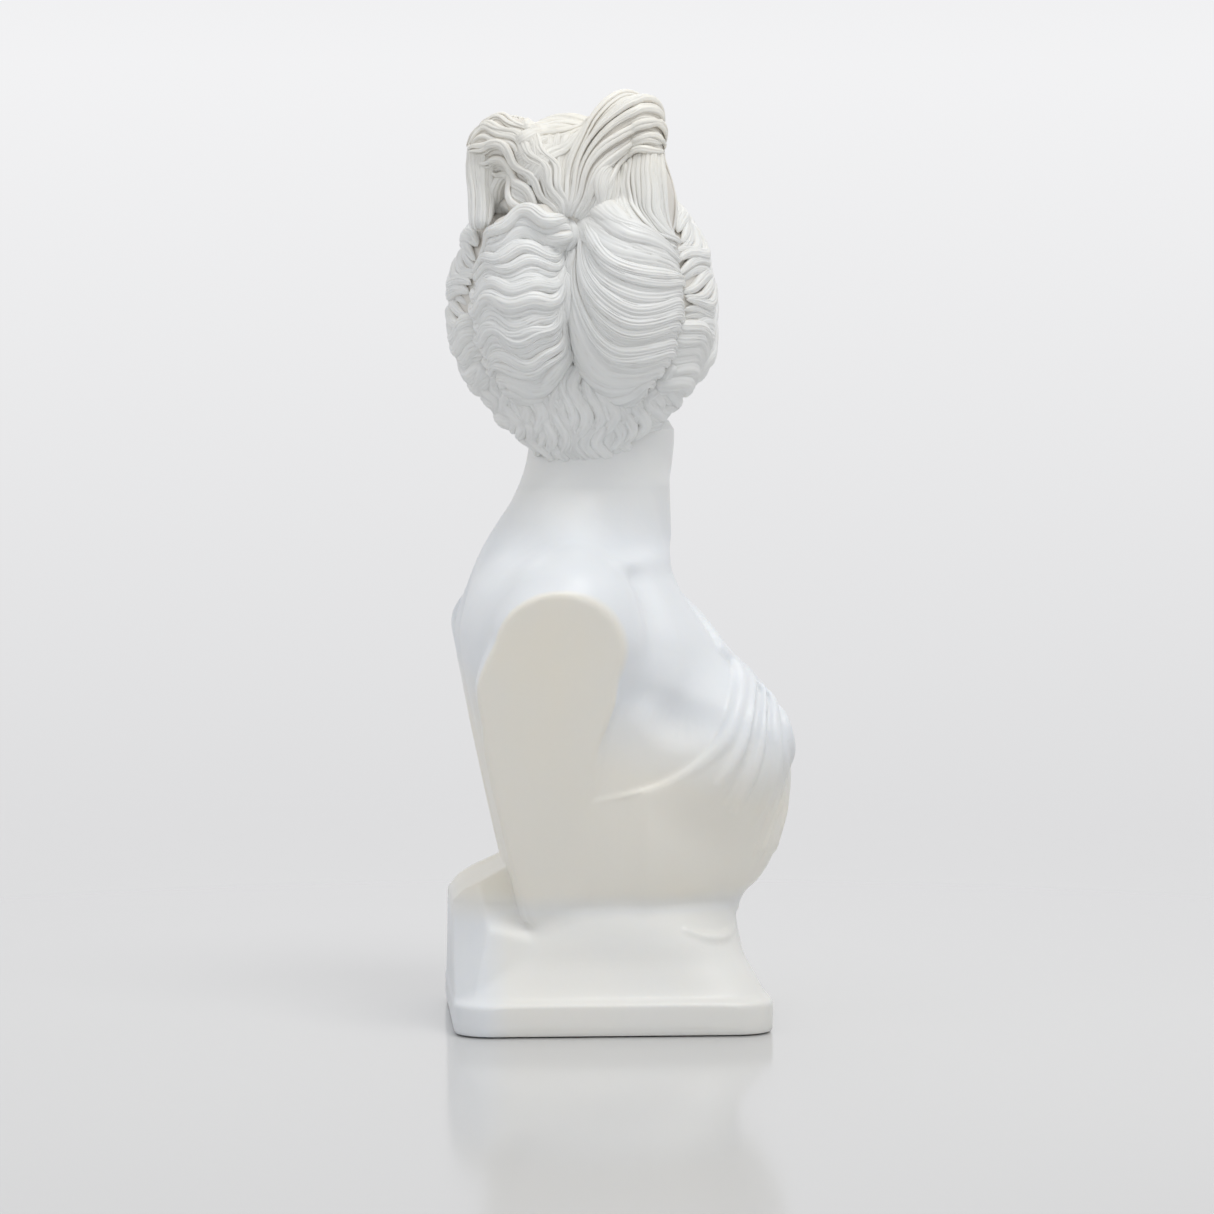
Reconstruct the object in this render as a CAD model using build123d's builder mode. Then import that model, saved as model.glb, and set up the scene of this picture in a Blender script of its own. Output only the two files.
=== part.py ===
from build123d import *
from math import cos, radians, sin
import os

# A life-size marble portrait bust in the classical manner, built from doweled blocks.
#
# Row frame: +Z up, the chest faces -Y, the sitter's left is +X, and the origin is on the surface
# that the bust stands on, below the middle of the whole bust. All sizes are in millimetres.

# Driving dimensions: plinth
PAD_PROUD = 1.0  # how far the felt pads lift the marble
PAD_RADIUS = 12.0
PAD_THICKNESS = 3.0
PAD_INSET = 38.0  # pad centre to the plinth's edge
PLINTH_WIDTH = 260.0
PLINTH_DEPTH = 251.0
PLINTH_Y = 11.8  # the plinth stands back a little under the overhanging chest
PLINTH_CORNER = 28.0
PLINTH_ARRIS = 3.0
RIM_TOP_Z = 25.0
SEAT_Z = 100.0  # the bed between plinth and torso
WALL_HALF_WIDTH = 98.0  # the tall slab left standing at the back
WALL_THICKNESS = 40.0

# Driving dimensions: torso
NECK_BED_Z = 428.0  # the bed between torso and head
NECK_Y = 15.5
NECK_RADIUS = 52.0
ARM_CUT_X = 155.0  # where each arm cut stands at shoulder height
SHOULDER_Z = 325.0
ARM_CUT_LEAN = 14.5  # degrees by which each arm cut leans in towards the plinth
SKIRT_HEIGHT = 28.0  # the slope left between the back and the plinth's wall

# Driving dimensions: head, drawn in its own frame with the face towards -Y
EYE_LEVEL = (20.0, 24.0, 566.0)  # the head frame's origin, on the skull's long axis
HEAD_TURN = 80.0  # degrees to the sitter's left
CHIGNON_BED_Y = 84.0  # where the coiled hair is bedded on the back of the head
BOW_BED = 112.0  # distance of the bow's tilted bed from the head frame's origin
BOW_BED_TILT = 36.87  # degrees by which that bed's normal leans back

# Driving dimensions: fixings
DOWEL_RADIUS = 8.0
DOWEL_DEPTH = 60.0  # how deep each dowel goes into each block
PIN_RADIUS = 4.0
PIN_DEPTH = 26.0
BOW_PIN_X = 20.0
CHIGNON_PIN_X = 38.0

PLINTH_BACK_Y = PLINTH_Y + PLINTH_DEPTH / 2

# Rows of height, half width, front and back for the ovals of the body
TORSO_ROWS = [
    (SEAT_Z, 89, -96, 89),
    (130, 103, -114, 94),
    (165, 113, -119, 100),
    (225, 127, -111, 109),
    (270, 138, -94, 115),
    (315, 148, -67, 118),
    (340, 134, -51, 114),
    (364, 102, -39, 105),
    (388, 72, -36, 92),
]

HEAD = Location(EYE_LEVEL, (0, 0, HEAD_TURN))


def ellipsoid(centre, radii):
    """A closed ellipsoid with the given half-axes."""
    with BuildPart() as blob:
        Sphere(10)
        scale(by=tuple(r / 10 for r in radii))
    return blob.part.moved(Location(centre))


def roll(points, thickness):
    """A roll of hair or of folded cloth of one thickness, through the given points."""
    with BuildPart() as rolled:
        with BuildLine() as path:
            Spline(*points)
        with BuildSketch(Plane(path.line @ 0, z_dir=path.line % 0)):
            Circle(thickness)
        sweep()
        for end in (path.line @ 0, path.line @ 1):
            with Locations(end):
                Sphere(thickness)
    return rolled.part


def body_oval(half_width, front, back):
    """A closed outline, broad and flat across the back and narrower to the front."""
    depth = back - front
    side = [
        (0.58 * half_width, front + 0.07 * depth),
        (0.93 * half_width, front + 0.34 * depth),
        (half_width, front + 0.62 * depth),
        (0.84 * half_width, front + 0.90 * depth),
        (0.42 * half_width, back),
    ]
    mirrored = [(-x, y) for x, y in reversed(side)]
    Spline(*[(0, front), *side, (0, back - 2), *mirrored], periodic=True)


def on_head(shape):
    """A shape drawn in the head's frame, put where the turned head stands."""
    return shape.moved(HEAD)


def both_sides(centre, radii):
    """A pair of ellipsoids on either side of the middle plane."""
    x, y, z = centre
    return [ellipsoid((side * x, y, z), radii) for side in (-1, 1)]


def below_beds(shape):
    """A mass of the head cut back flat to both of its beds."""
    with BuildPart() as block:
        add(shape)
        split(bisect_by=chignon_bed_on_head, keep=Keep.BOTTOM)
        split(bisect_by=bow_bed_on_head, keep=Keep.BOTTOM)
    return block.part


def between_arm_cuts(shape):
    """A mass of the torso cut back flat where the arms end."""
    with BuildPart() as block:
        add(shape)
        for arm_cut in arm_cuts:
            split(bisect_by=arm_cut, keep=Keep.BOTTOM)
    return block.part


# Cuts that end the arms, leaning in towards the plinth
lean = radians(ARM_CUT_LEAN)
arm_cuts = [
    Plane((side * ARM_CUT_X, 0, SHOULDER_Z), x_dir=(0, 1, 0), z_dir=(side * cos(lean), 0, -sin(lean)))
    for side in (-1, 1)
]

# Beds between the blocks of the head
tilt = radians(BOW_BED_TILT)
bow_normal = Vector(0, sin(tilt), cos(tilt))
bow_bed_on_head = Plane(bow_normal * BOW_BED, x_dir=(1, 0, 0), z_dir=bow_normal)
chignon_bed_on_head = Plane((0, CHIGNON_BED_Y, 0), x_dir=(1, 0, 0), z_dir=(0, 1, 0))
bow_bed = Plane(HEAD * Location(bow_bed_on_head))
chignon_bed = Plane(HEAD * Location(chignon_bed_on_head))

# Felt pads
pad_x = PLINTH_WIDTH / 2 - PAD_INSET
pad_y = PLINTH_DEPTH / 2 - PAD_INSET

with BuildPart() as felt_pads:
    with BuildSketch():
        with Locations((0, PLINTH_Y)):
            with GridLocations(2 * pad_x, 2 * pad_y, 2, 2):
                Circle(PAD_RADIUS)
    extrude(amount=PAD_THICKNESS)
felt_pads.part.label = "felt_pads"

# Dowels and pins, all of them sealed inside the marble
with BuildPart() as plinth_dowel:
    with Locations((0, 0, SEAT_Z)):
        Cylinder(DOWEL_RADIUS, 2 * DOWEL_DEPTH)
plinth_dowel.part.label = "plinth_dowel"

with BuildPart() as neck_dowel:
    with Locations((0, NECK_Y, NECK_BED_Z)):
        Cylinder(DOWEL_RADIUS, 2 * DOWEL_DEPTH)
neck_dowel.part.label = "neck_dowel"

with BuildPart(bow_bed) as bow_pins:
    with Locations((-BOW_PIN_X, -10, 0), (BOW_PIN_X, -10, 0)):
        Cylinder(PIN_RADIUS, 2 * PIN_DEPTH)
bow_pins.part.label = "bow_pins"

with BuildPart(chignon_bed) as chignon_pins:
    with Locations((-CHIGNON_PIN_X, 0, 0), (CHIGNON_PIN_X, 0, 0)):
        Cylinder(PIN_RADIUS, 2 * PIN_DEPTH)
chignon_pins.part.label = "chignon_pins"

# Plinth: a slab with rounded corners, a mound up to the torso, and a wall at the back
wall_y = PLINTH_BACK_Y - WALL_THICKNESS / 2

with BuildPart() as plinth:
    with BuildSketch(Plane.XY.offset(PAD_PROUD)):
        with Locations((0, PLINTH_Y)):
            RectangleRounded(PLINTH_WIDTH, PLINTH_DEPTH, PLINTH_CORNER)
    extrude(amount=RIM_TOP_Z - PAD_PROUD)
    chamfer(plinth.edges().group_by(Axis.Z)[0], PLINTH_ARRIS)
    with BuildSketch(Plane.XY.offset(RIM_TOP_Z)):
        with Locations((0, PLINTH_Y)):
            RectangleRounded(PLINTH_WIDTH - 4, PLINTH_DEPTH - 4, PLINTH_CORNER)
    with BuildSketch(Plane.XY.offset(SEAT_Z)):
        with Locations((0, 1)):
            RectangleRounded(192, 192, 90)
    loft()
    with BuildSketch(Plane.XY.offset(RIM_TOP_Z)):
        with Locations((0, wall_y)):
            RectangleRounded(2 * WALL_HALF_WIDTH, WALL_THICKNESS, 18)
    extrude(amount=SEAT_Z - RIM_TOP_Z)
    with BuildSketch(Plane.XY.offset(RIM_TOP_Z)):
        with Locations((0, wall_y - WALL_THICKNESS / 2)):
            Rectangle(2 * WALL_HALF_WIDTH - 40, WALL_THICKNESS)
    extrude(amount=SEAT_Z - RIM_TOP_Z)
    add(felt_pads.part, mode=Mode.SUBTRACT)
    add(plinth_dowel.part, mode=Mode.SUBTRACT)
plinth.part.label = "plinth"

# Torso: chest, shoulders and neck stump, with the arms cut away and a mantle over one shoulder
shoulders = both_sides((112, 38, SHOULDER_Z - 9), (61, 60, 59))
arms = both_sides((124, 62, 235), (38, 49, 126))
breasts = both_sides((60, -60, 219), (62, 70, 70))
blades = both_sides((70, 76, 286), (60, 50, 84))
neck_slopes = [
    roll([(side * 6, 26, 402), (side * 52, 38, 376), (side * 104, 38, 344)], 28) for side in (-1, 1)
]
gather = (-72, -92, 262)
mantle_hem = [
    roll([(122, 18, 366), (74, -34, 338), (14, -68, 312), (-38, -86, 284), gather], 11),
    roll([gather, (-104, -76, 226), (-122, -36, 200), (-126, 8, 188)], 8),
]
mantle_folds = [
    roll([gather, (-64, -124, 214), (-40, -114, 164), (-18, -109, 124)], 8),
    roll([gather, (-88, -108, 200), (-84, -92, 150)], 7),
    roll([(108, 4, 360), (92, -66, 290), (74, -122, 214), (40, -108, 140)], 9),
    roll([(92, -16, 350), (44, -80, 270), (12, -110, 190), (4, -109, 126)], 8),
]

with BuildPart() as torso:
    for z, half_width, front, back in TORSO_ROWS:
        with BuildSketch(Plane.XY.offset(z)):
            with BuildLine():
                body_oval(half_width, front, back)
            make_face()
    with BuildSketch(Plane.XY.offset(NECK_BED_Z)):
        with BuildLine():
            body_oval(NECK_RADIUS, NECK_Y - NECK_RADIUS, NECK_Y + NECK_RADIUS)
        make_face()
    loft()
    add([*breasts, *blades, *neck_slopes])
    add([between_arm_cuts(shape) for shape in (*shoulders, *arms)])
    with BuildSketch(Plane.XY.offset(SEAT_Z)):
        with Locations((0, PLINTH_BACK_Y - 50)):
            RectangleRounded(2 * WALL_HALF_WIDTH - 10, 92, 18)
    extrude(amount=SKIRT_HEIGHT, taper=48)
    add([between_arm_cuts(shape) for shape in (*mantle_hem, *mantle_folds)])
    split(bisect_by=Plane.XY.offset(SEAT_Z), keep=Keep.TOP)
    split(bisect_by=Plane.XY.offset(NECK_BED_Z), keep=Keep.BOTTOM)
    add([plinth_dowel.part, neck_dowel.part], mode=Mode.SUBTRACT)
torso.part.label = "torso"

# Head: neck, face and the hair that lies close to the skull
skull = [
    ellipsoid((0, 2, 32), (74, 94, 82)),
    ellipsoid((0, -30, -30), (58, 64, 82)),
    ellipsoid((0, -48, -72), (44, 46, 38)),
    ellipsoid((0, -78, -94), (24, 20, 20)),
    ellipsoid((0, -72, -64), (36, 26, 28)),
    ellipsoid((0, -66, 20), (56, 32, 24)),
]
cheeks = both_sides((32, -60, -28), (28, 26, 32))
sockets = both_sides((31, -101, 1), (19, 14, 12))
eyes = both_sides((31, -76, -1), (15, 14, 10))
nose = [
    roll([(0, -88, 16), (0, -96, -8), (0, -103, -32)], 8),
    ellipsoid((0, -108, -37), (9, 9, 8)),
    *both_sides((10, -96, -40), (8, 11, 7)),
]
lips = [
    ellipsoid((0, -93, -62), (22, 9, 5)),
    ellipsoid((0, -91, -71), (19, 9, 5)),
]
hair_over_skull = [
    ellipsoid((0, 10, 22), (94, 98, 98)),
    *both_sides((48, 46, 6), (54, 46, 82)),
    ellipsoid((0, 40, -76), (62, 42, 40)),
]
face_window = ellipsoid((0, -96, -26), (55, 66, 92))
temple_route = [(4, -60, 96), (40, -72, 74), (74, -46, 40), (90, 2, 12), (88, 46, 4)]
lower_route = [(56, -56, 44), (80, -30, 2), (86, 12, -32), (62, 60, -60)]
crown_route = [(3, -50, 106), (46, -20, 102), (82, 22, 66), (84, 66, 34)]
waves = [
    roll([(side * x, y, z) for x, y, z in route], thickness)
    for route, thickness in ((temple_route, 17), (lower_route, 16), (crown_route, 14))
    for side in (-1, 1)
]
nape_curls = [
    roll(
        [
            (x, 70 - abs(x) / 3, -58),
            (x * 0.9, 71 - abs(x) / 3, -84),
            (x * 0.7, 58 - abs(x) / 4, -112),
        ],
        12,
    )
    for x in (-48, -24, 0, 24, 48)
]
neck_foot = Plane((0, NECK_Y, NECK_BED_Z))
neck_top = Plane((EYE_LEVEL[0] - 4, EYE_LEVEL[1] - 4, EYE_LEVEL[2] - 70))

with BuildPart() as hair_shell:
    add([below_beds(shape) for shape in hair_over_skull])
    add(face_window, mode=Mode.SUBTRACT)
    add([below_beds(shape) for shape in (*waves, *nape_curls)])

with BuildPart() as head:
    with BuildSketch(neck_foot):
        Circle(NECK_RADIUS)
    with BuildSketch(neck_top):
        Ellipse(50, 54)
    loft()
    add([on_head(below_beds(shape)) for shape in (*skull, *cheeks)])
    add([on_head(shape) for shape in sockets], mode=Mode.SUBTRACT)
    add([on_head(shape) for shape in (*eyes, *nose, *lips)])
    add(on_head(hair_shell.part))
    add([neck_dowel.part, bow_pins.part, chignon_pins.part], mode=Mode.SUBTRACT)
head.part.label = "head"

# Chignon: two coils on the back of the head, with strands that fan out from the stem
coils = [ellipsoid((-38, 88, 10), (44, 45, 76)), ellipsoid((38, 88, 8), (42, 44, 72))]
strand_ends = [(66, 112, 30), (62, 114, -6), (44, 116, -34)]
strands = [
    roll([(side * 4, 118, 48), (side * x * 0.6, 131, (z + 48) / 2 + 6), (side * x, y, z)], 11)
    for side in (-1, 1)
    for x, y, z in strand_ends
]
stem = ellipsoid((0, 100, 52), (16, 26, 46))

with BuildPart() as chignon:
    add([on_head(shape) for shape in (*coils, *strands, stem)])
    split(bisect_by=chignon_bed, keep=Keep.TOP)
    split(bisect_by=bow_bed, keep=Keep.BOTTOM)
    add(chignon_pins.part, mode=Mode.SUBTRACT)
chignon.part.label = "chignon"

# Bow: two raised loops of hair, hollowed from behind, and the knot between them
bow_masses = [
    ellipsoid((-34, 60, 128), (31, 36, 45)),
    ellipsoid((44, 60, 116), (42, 36, 42)),
    ellipsoid((12, 42, 122), (34, 32, 36)),
    ellipsoid((0, 86, 92), (20, 26, 34)),
]
bow_hollows = [
    ellipsoid((-38, 98, 122), (13, 32, 26)),
    ellipsoid((56, 98, 110), (17, 32, 22)),
]
bow_straps = [
    roll([(0, 94, 92), (-14, 92, 128), (-36, 84, 156), (-56, 84, 132)], 9),
    roll([(0, 94, 92), (22, 94, 122), (52, 84, 142), (74, 82, 118)], 9),
]

with BuildPart() as hair_bow:
    add([on_head(shape) for shape in bow_masses])
    add([on_head(shape) for shape in bow_hollows], mode=Mode.SUBTRACT)
    add([on_head(shape) for shape in bow_straps])
    split(bisect_by=bow_bed, keep=Keep.TOP)
    add(bow_pins.part, mode=Mode.SUBTRACT)
hair_bow.part.label = "hair_bow"

os.makedirs("parts", exist_ok=True)
export_step(felt_pads.part, "parts/felt_pads.step")
export_step(plinth.part, "parts/plinth.step")
export_step(plinth_dowel.part, "parts/plinth_dowel.step")
export_step(torso.part, "parts/torso.step")
export_step(neck_dowel.part, "parts/neck_dowel.step")
export_step(head.part, "parts/head.step")
export_step(chignon_pins.part, "parts/chignon_pins.step")
export_step(chignon.part, "parts/chignon.step")
export_step(bow_pins.part, "parts/bow_pins.step")
export_step(hair_bow.part, "parts/hair_bow.step")
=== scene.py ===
"""A life-size marble portrait bust in the classical manner, seen from the sitter's right.

The stone is carved in two ways. Plinth, torso, neck and face are skins over a block of "clay", a
grid of distances that rounded masses are pressed onto and cut from. The hair is laid over such a
mass as locks, each one a swept body with combed grooves. Lengths are in millimetres until a mesh
is made, when they become metres.
"""

import math

import bmesh
import bpy
import numpy as np
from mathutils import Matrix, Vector


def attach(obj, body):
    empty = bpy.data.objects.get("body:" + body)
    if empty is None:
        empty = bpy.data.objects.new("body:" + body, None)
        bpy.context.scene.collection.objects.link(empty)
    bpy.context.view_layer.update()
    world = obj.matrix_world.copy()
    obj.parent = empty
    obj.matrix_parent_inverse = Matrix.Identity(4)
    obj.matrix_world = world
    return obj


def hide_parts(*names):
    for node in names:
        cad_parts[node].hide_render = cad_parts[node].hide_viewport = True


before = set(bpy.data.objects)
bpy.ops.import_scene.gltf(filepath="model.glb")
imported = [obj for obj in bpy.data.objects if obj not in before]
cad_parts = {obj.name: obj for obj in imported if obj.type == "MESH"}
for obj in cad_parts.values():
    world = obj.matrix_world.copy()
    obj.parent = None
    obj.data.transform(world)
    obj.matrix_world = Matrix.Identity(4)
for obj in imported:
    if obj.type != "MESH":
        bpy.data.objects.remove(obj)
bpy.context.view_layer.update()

MM = 0.001
SEED = 20

# ---- Where things stand ----

SEAT_Z = 100.0  # bed between plinth and torso
NECK_BED_Z = 428.0  # bed between torso and head
EYE_LEVEL = np.array([20.0, 24.0, 566.0])  # origin of the head's own frame
HEAD_TURN = math.radians(80.0)  # to the sitter's left

BODY_STEP = 1.8
HEAD_STEP = 1.1
LOCK_STEP = 2.6  # spacing of the rings along a lock


def from_head(points):
    """Points of the head's frame (x to its left, y to its back) in the bust's frame."""
    points = np.asarray(points, float)
    c, s = math.cos(HEAD_TURN), math.sin(HEAD_TURN)
    x, y, z = points[..., 0], points[..., 1], points[..., 2]
    return np.stack([c * x - s * y, s * x + c * y, z], -1) + EYE_LEVEL


def unit(rows):
    """The rows scaled to a length of one."""
    return rows / (np.linalg.norm(rows, axis=-1, keepdims=True) + 1e-9)


def reach_along(rows):
    """How far along a chain of points each one lies."""
    return np.concatenate([[0], np.cumsum(np.linalg.norm(np.diff(rows, axis=0), axis=1))])


def smooth_rows(values, rounds):
    """Averages each row with its neighbours a few times."""
    v = np.array(values, float)
    for _ in range(rounds):
        padded = np.vstack([v[:1], v, v[-1:]])
        v = 0.25 * padded[:-2] + 0.5 * padded[1:-1] + 0.25 * padded[2:]
    return v


# ---- Clay: distances to rounded masses, smoothly joined ----


def join(a, b, k):
    """Smooth union of two distances; k is the width of the fillet."""
    h = np.clip(0.5 + 0.5 * (b - a) / k, 0, 1)
    return b + (a - b) * h - k * h * (1 - h)


class Mass:
    """One rounded mass: its distance function, its box, and how it meets the clay."""

    def __init__(self, distance, low, high, k=8.0, cut=False):
        self.distance = distance
        self.low = np.asarray(low, float) - 2 * k
        self.high = np.asarray(high, float) + 2 * k
        self.k = k
        self.cut = cut

    def onto(self, d, x, y, z):
        """The clay's distances d after this mass has been pressed on or cut out."""
        mine = self.distance(x, y, z)
        if self.cut:
            return -join(-d, mine, self.k)
        return join(d, mine, self.k)


def blob(centre, radii, k=8.0, cut=False):
    """An ellipsoid."""
    cx, cy, cz = centre
    rx, ry, rz = radii

    def distance(x, y, z):
        u, v, w = x - cx, y - cy, z - cz
        near = np.sqrt((u / rx) ** 2 + (v / ry) ** 2 + (w / rz) ** 2) + 1e-6
        steep = np.sqrt((u / rx**2) ** 2 + (v / ry**2) ** 2 + (w / rz**2) ** 2) + 1e-6
        return near * (near - 1) / steep

    return Mass(distance, np.subtract(centre, radii), np.add(centre, radii), k, cut)


def limb(start, end, r_start, r_end, k=8.0):
    """A round-ended rod that tapers from one radius to another."""
    a, b = np.asarray(start, float), np.asarray(end, float)
    run = b - a
    length = float(run @ run) + 1e-9

    def distance(x, y, z):
        t = ((x - a[0]) * run[0] + (y - a[1]) * run[1] + (z - a[2]) * run[2]) / length
        t = np.clip(t, 0, 1)
        off = (x - a[0] - t * run[0]) ** 2 + (y - a[1] - t * run[1]) ** 2
        return np.sqrt(off + (z - a[2] - t * run[2]) ** 2) - (r_start + (r_end - r_start) * t)

    r = max(r_start, r_end)
    return Mass(distance, np.minimum(a, b) - r, np.maximum(a, b) + r, k)


def vein(points, radii, k=6.0, cut=False):
    """A chain of rods through the points, smoothed to a curve: a fold, a lip or a brow."""
    line = curve(points, 4 * (len(points) - 1) + 1)
    r = np.interp(np.linspace(0, 1, len(line)), np.linspace(0, 1, len(radii)), radii)
    rods = [limb(line[i], line[i + 1], r[i], r[i + 1]) for i in range(len(line) - 1)]

    def distance(x, y, z):
        d = rods[0].distance(x, y, z)
        for rod in rods[1:]:
            d = np.minimum(d, rod.distance(x, y, z))
        return d

    low, high = line.min(0) - max(radii), line.max(0) + max(radii)
    return Mass(distance, low, high, k, cut)


def plane(normal, point):
    """The distance from a plane, counted up in the direction of its normal."""
    n = unit(np.asarray(normal, float))
    offset = float(n @ np.asarray(point, float))
    return lambda x, y, z: n[0] * x + n[1] * y + n[2] * z - offset


def half_space(normal, point, k):
    """Cuts away everything on the side that the normal points to."""
    beyond = plane(normal, point)
    everywhere = np.full(3, 1e4)
    return Mass(lambda x, y, z: -beyond(x, y, z), -everywhere, everywhere, k, True)


def curve(points, count):
    """Evenly spaced points on a smooth curve through the given ones (Catmull-Rom)."""
    p = np.asarray(points, float)
    p = np.vstack([2 * p[0] - p[1], p, 2 * p[-1] - p[-2]])
    t = np.linspace(0, 1, 12)[:-1, None]
    run = []
    for i in range(1, len(p) - 2):
        a, b, c, d = p[i - 1], p[i], p[i + 1], p[i + 2]
        bend = 2 * a - 5 * b + 4 * c - d + t * (3 * (b - c) + d - a)
        run.append(b + 0.5 * t * (c - a + t * bend))
    dense = np.vstack([*run, p[-2][None]])
    far = reach_along(dense)
    want = np.linspace(0, far[-1], count)
    return np.stack([np.interp(want, far, dense[:, i]) for i in range(dense.shape[1])], 1)


def distance_at(masses, points):
    """The clay's distance at loose points, given as rows."""
    x, y, z = np.asarray(points, float).T
    d = np.full(len(x), 1e3)
    for mass in masses:
        d = mass.onto(d, x, y, z)
    return d


def slope_at(masses, points, step=0.6):
    """The outward direction of the clay at loose points."""
    out = np.zeros_like(points)
    for axis in range(3):
        shift = np.zeros(3)
        shift[axis] = step
        out[:, axis] = distance_at(masses, points + shift) - distance_at(masses, points - shift)
    return unit(out)


def on_surface(masses, points, lift=0.0):
    """The points moved along the clay's slope until they lie on its surface."""
    p = np.array(points, float)
    for _ in range(5):
        d = np.clip(distance_at(masses, p) - lift, -12, 12)
        p -= d[:, None] * slope_at(masses, p) * 0.9
    return p


def sculpt(masses, low, high, step):
    """Presses the masses onto a grid and returns the skin's points and four-sided faces."""
    axes = [np.arange(low[i], high[i] + step, step, dtype=np.float32) for i in range(3)]
    d = np.full([len(a) for a in axes], 1e3, np.float32)
    for mass in masses:
        window = []
        for i in range(3):
            lo = np.searchsorted(axes[i], mass.low[i])
            hi = np.searchsorted(axes[i], mass.high[i])
            window.append(slice(int(lo), int(hi)))
        if any(w.stop <= w.start for w in window):
            continue
        window = tuple(window)
        x = axes[0][window[0]][:, None, None]
        y = axes[1][window[1]][None, :, None]
        z = axes[2][window[2]][None, None, :]
        d[window] = mass.onto(d[window], x, y, z)
    return skin(d, axes)


def skin(d, axes):
    """Surface nets: one point in each cell that the surface crosses, one face per crossed edge."""
    d = np.pad(d, 1, constant_values=1e3)
    step = axes[0][1] - axes[0][0]
    corner = np.array([a[0] - step for a in axes])
    inside = d < 0
    nx, ny, nz = d.shape
    count = np.zeros((nx - 1, ny - 1, nz - 1), np.int8)
    for i in (0, 1):
        for j in (0, 1):
            for k in (0, 1):
                count += inside[i : nx - 1 + i, j : ny - 1 + j, k : nz - 1 + k]
    cells = np.argwhere((count > 0) & (count < 8))
    number = np.full(count.shape, -1, np.int64)
    number[tuple(cells.T)] = np.arange(len(cells))
    total = np.zeros((len(cells), 3))
    hits = np.zeros(len(cells))
    steps = np.eye(3, dtype=int)
    for axis in range(3):
        side, other = [steps[i] for i in range(3) if i != axis]
        for shift in (0 * side, side, other, side + other):
            a = cells + shift
            b = a + steps[axis]
            da, db = d[tuple(a.T)], d[tuple(b.T)]
            crossed = (da < 0) != (db < 0)
            t = np.where(crossed, da / np.where(crossed, da - db, 1), 0)
            total += np.where(crossed[:, None], a + t[:, None] * steps[axis], 0)
            hits += crossed
    points = total / hits[:, None] * step + corner
    faces = []
    for axis in range(3):
        first, second = [steps[(axis + n) % 3] for n in (1, 2)]
        low = [slice(1, n - 1) for n in (nx, ny, nz)]
        high = list(low)
        low[axis] = slice(0, -1)
        high[axis] = slice(1, None)
        change = inside[tuple(low)].astype(np.int8) - inside[tuple(high)]
        at = np.argwhere(change != 0)
        sign = change[tuple(at.T)]
        at[:, [i for i in range(3) if i != axis]] += 1
        ring = [at - first - second, at - second, at, at - first]
        quad = np.stack([number[tuple(r.T)] for r in ring], 1)
        quad[sign < 0] = quad[sign < 0][:, ::-1]
        faces.append(quad)
    return points, np.vstack(faces)


# ---- Meshes ----


def make_mesh(name, points, faces, **values):
    """A smooth-shaded Blender object from points in millimetres, with one attribute per value."""
    mesh = bpy.data.meshes.new(name)
    faces = faces if isinstance(faces, list) else faces.tolist()
    mesh.from_pydata((np.asarray(points) * MM).tolist(), [], faces)
    for key, value in values.items():
        layer = mesh.attributes.new(key, "FLOAT", "POINT")
        layer.data.foreach_set("value", np.asarray(value, np.float32))
    mesh.polygons.foreach_set("use_smooth", np.ones(len(mesh.polygons), bool))
    mesh.update()
    piece = bpy.data.objects.new(name, mesh)
    bpy.context.scene.collection.objects.link(piece)
    return piece


def edges_of(faces):
    """Every side of every four-sided face, as pairs of point numbers."""
    return np.vstack([faces[:, [i, (i + 1) % 4]] for i in range(4)])


def neighbours_mean(edges, values):
    """The mean of one value over the points that each point shares a side with."""
    total = np.bincount(edges[:, 0], values[edges[:, 1]], len(values))
    total += np.bincount(edges[:, 1], values[edges[:, 0]], len(values))
    return total / np.bincount(edges.ravel(), minlength=len(values))


SMOOTHING = (0.55, -0.56)  # pull towards the neighbours' middle, and push back to keep the size


def polish(points, faces, rounds):
    """Evens out the skin: each point moves towards its neighbours' middle and part way back."""
    edges = edges_of(faces)
    p = points.copy()
    for pull in SMOOTHING * rounds:
        middle = np.stack([neighbours_mean(edges, p[:, axis]) for axis in range(3)], 1)
        p += pull * (middle - p)
    return p


def hollowness(points, faces, reach):
    """0 on open stone and 1 deep in a groove: how far neighbours stand out, spread over reach."""
    edges = edges_of(faces)
    a, b, c = (points[faces[:, i]] for i in range(3))
    flat = np.cross(b - a, c - a)
    normal = np.zeros_like(points)
    for i in range(4):
        for axis in range(3):
            normal[:, axis] += np.bincount(faces[:, i], flat[:, axis], len(points))
    normal = unit(normal)
    bend = np.einsum("ij,ij->i", points[edges[:, 1]] - points[edges[:, 0]], normal[edges[:, 0]])
    back = np.einsum("ij,ij->i", points[edges[:, 0]] - points[edges[:, 1]], normal[edges[:, 1]])
    degree = np.bincount(edges.ravel(), minlength=len(points)).astype(float)
    deep = np.bincount(edges[:, 0], bend, len(points)) + np.bincount(edges[:, 1], back, len(points))
    deep /= degree
    for _ in range(reach):
        deep = 0.5 * deep + 0.5 * neighbours_mean(edges, deep)
    return deep


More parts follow.
